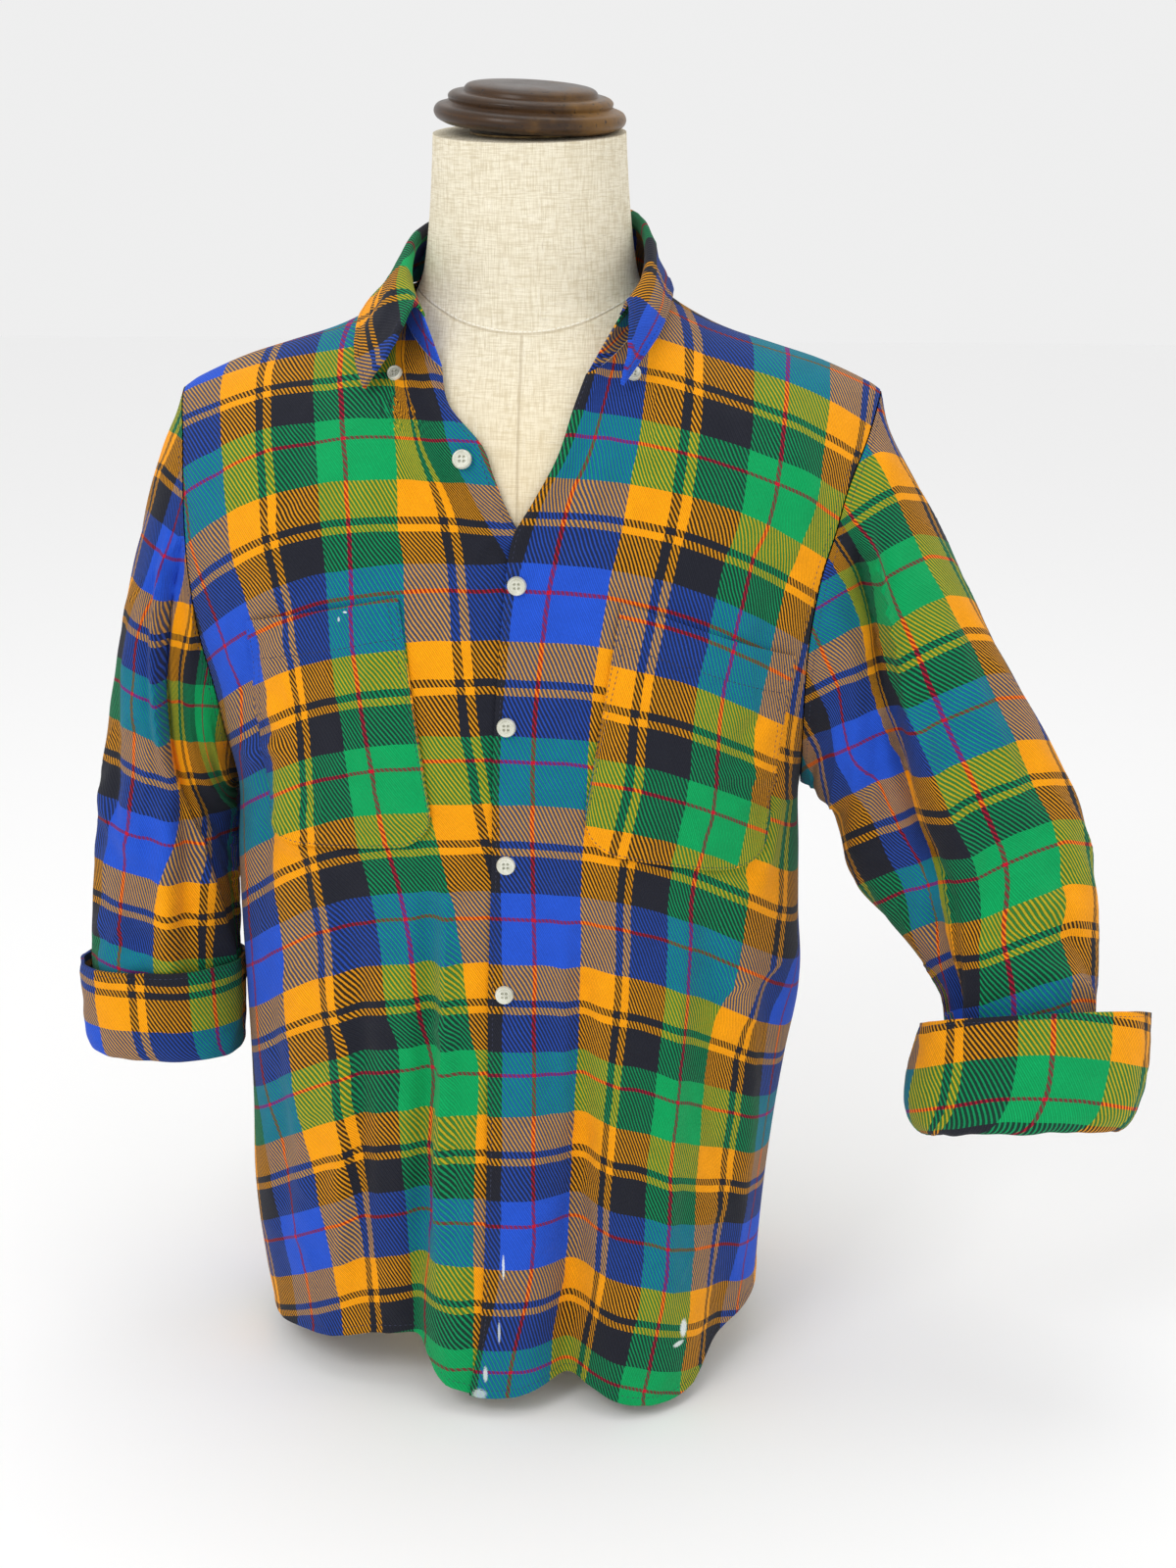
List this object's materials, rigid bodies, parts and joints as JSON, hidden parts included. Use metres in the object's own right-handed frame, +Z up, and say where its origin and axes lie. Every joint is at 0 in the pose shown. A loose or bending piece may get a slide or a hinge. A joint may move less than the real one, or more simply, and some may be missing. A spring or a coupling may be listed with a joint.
{
  "type": "flannel shirt on a dress form",
  "caption": "Plaid flannel button-down shirt with turned-back cuffs and patch pockets, on a limbless linen dress form with a wooden neck cap.",
  "frame": {"origin": "centre of the form's flat bottom, on the floor", "axes": "+Z up, the shirt's front faces -Y, the wearer's left side is +X"},
  "size_m": [0.6914, 0.3021, 0.8201],
  "materials": {
    "flannel": "brushed twill plaid",
    "linen": "slubbed natural linen",
    "wood": "worn antique varnish",
    "brass": "dull aged",
    "button": "pearly"
  },
  "bodies": {
    "root": {"form_torso": "linen", "form_disc": "brass", "form_cap": "wood", "front_right": "flannel", "front_left": "flannel", "back": "flannel", "yoke": "flannel", "collar_stand": "flannel", "collar_leaf": "flannel", "sleeve_right": "flannel", "sleeve_left": "flannel", "cuff_right": "flannel", "cuff_left": "flannel", "pocket_right": "flannel", "pocket_left": "flannel", "button_1": "button", "button_2": "button", "button_3": "button", "button_4": "button", "button_5": "button", "collar_button_right": "button", "collar_button_left": "button"}
  },
  "joints": []
}
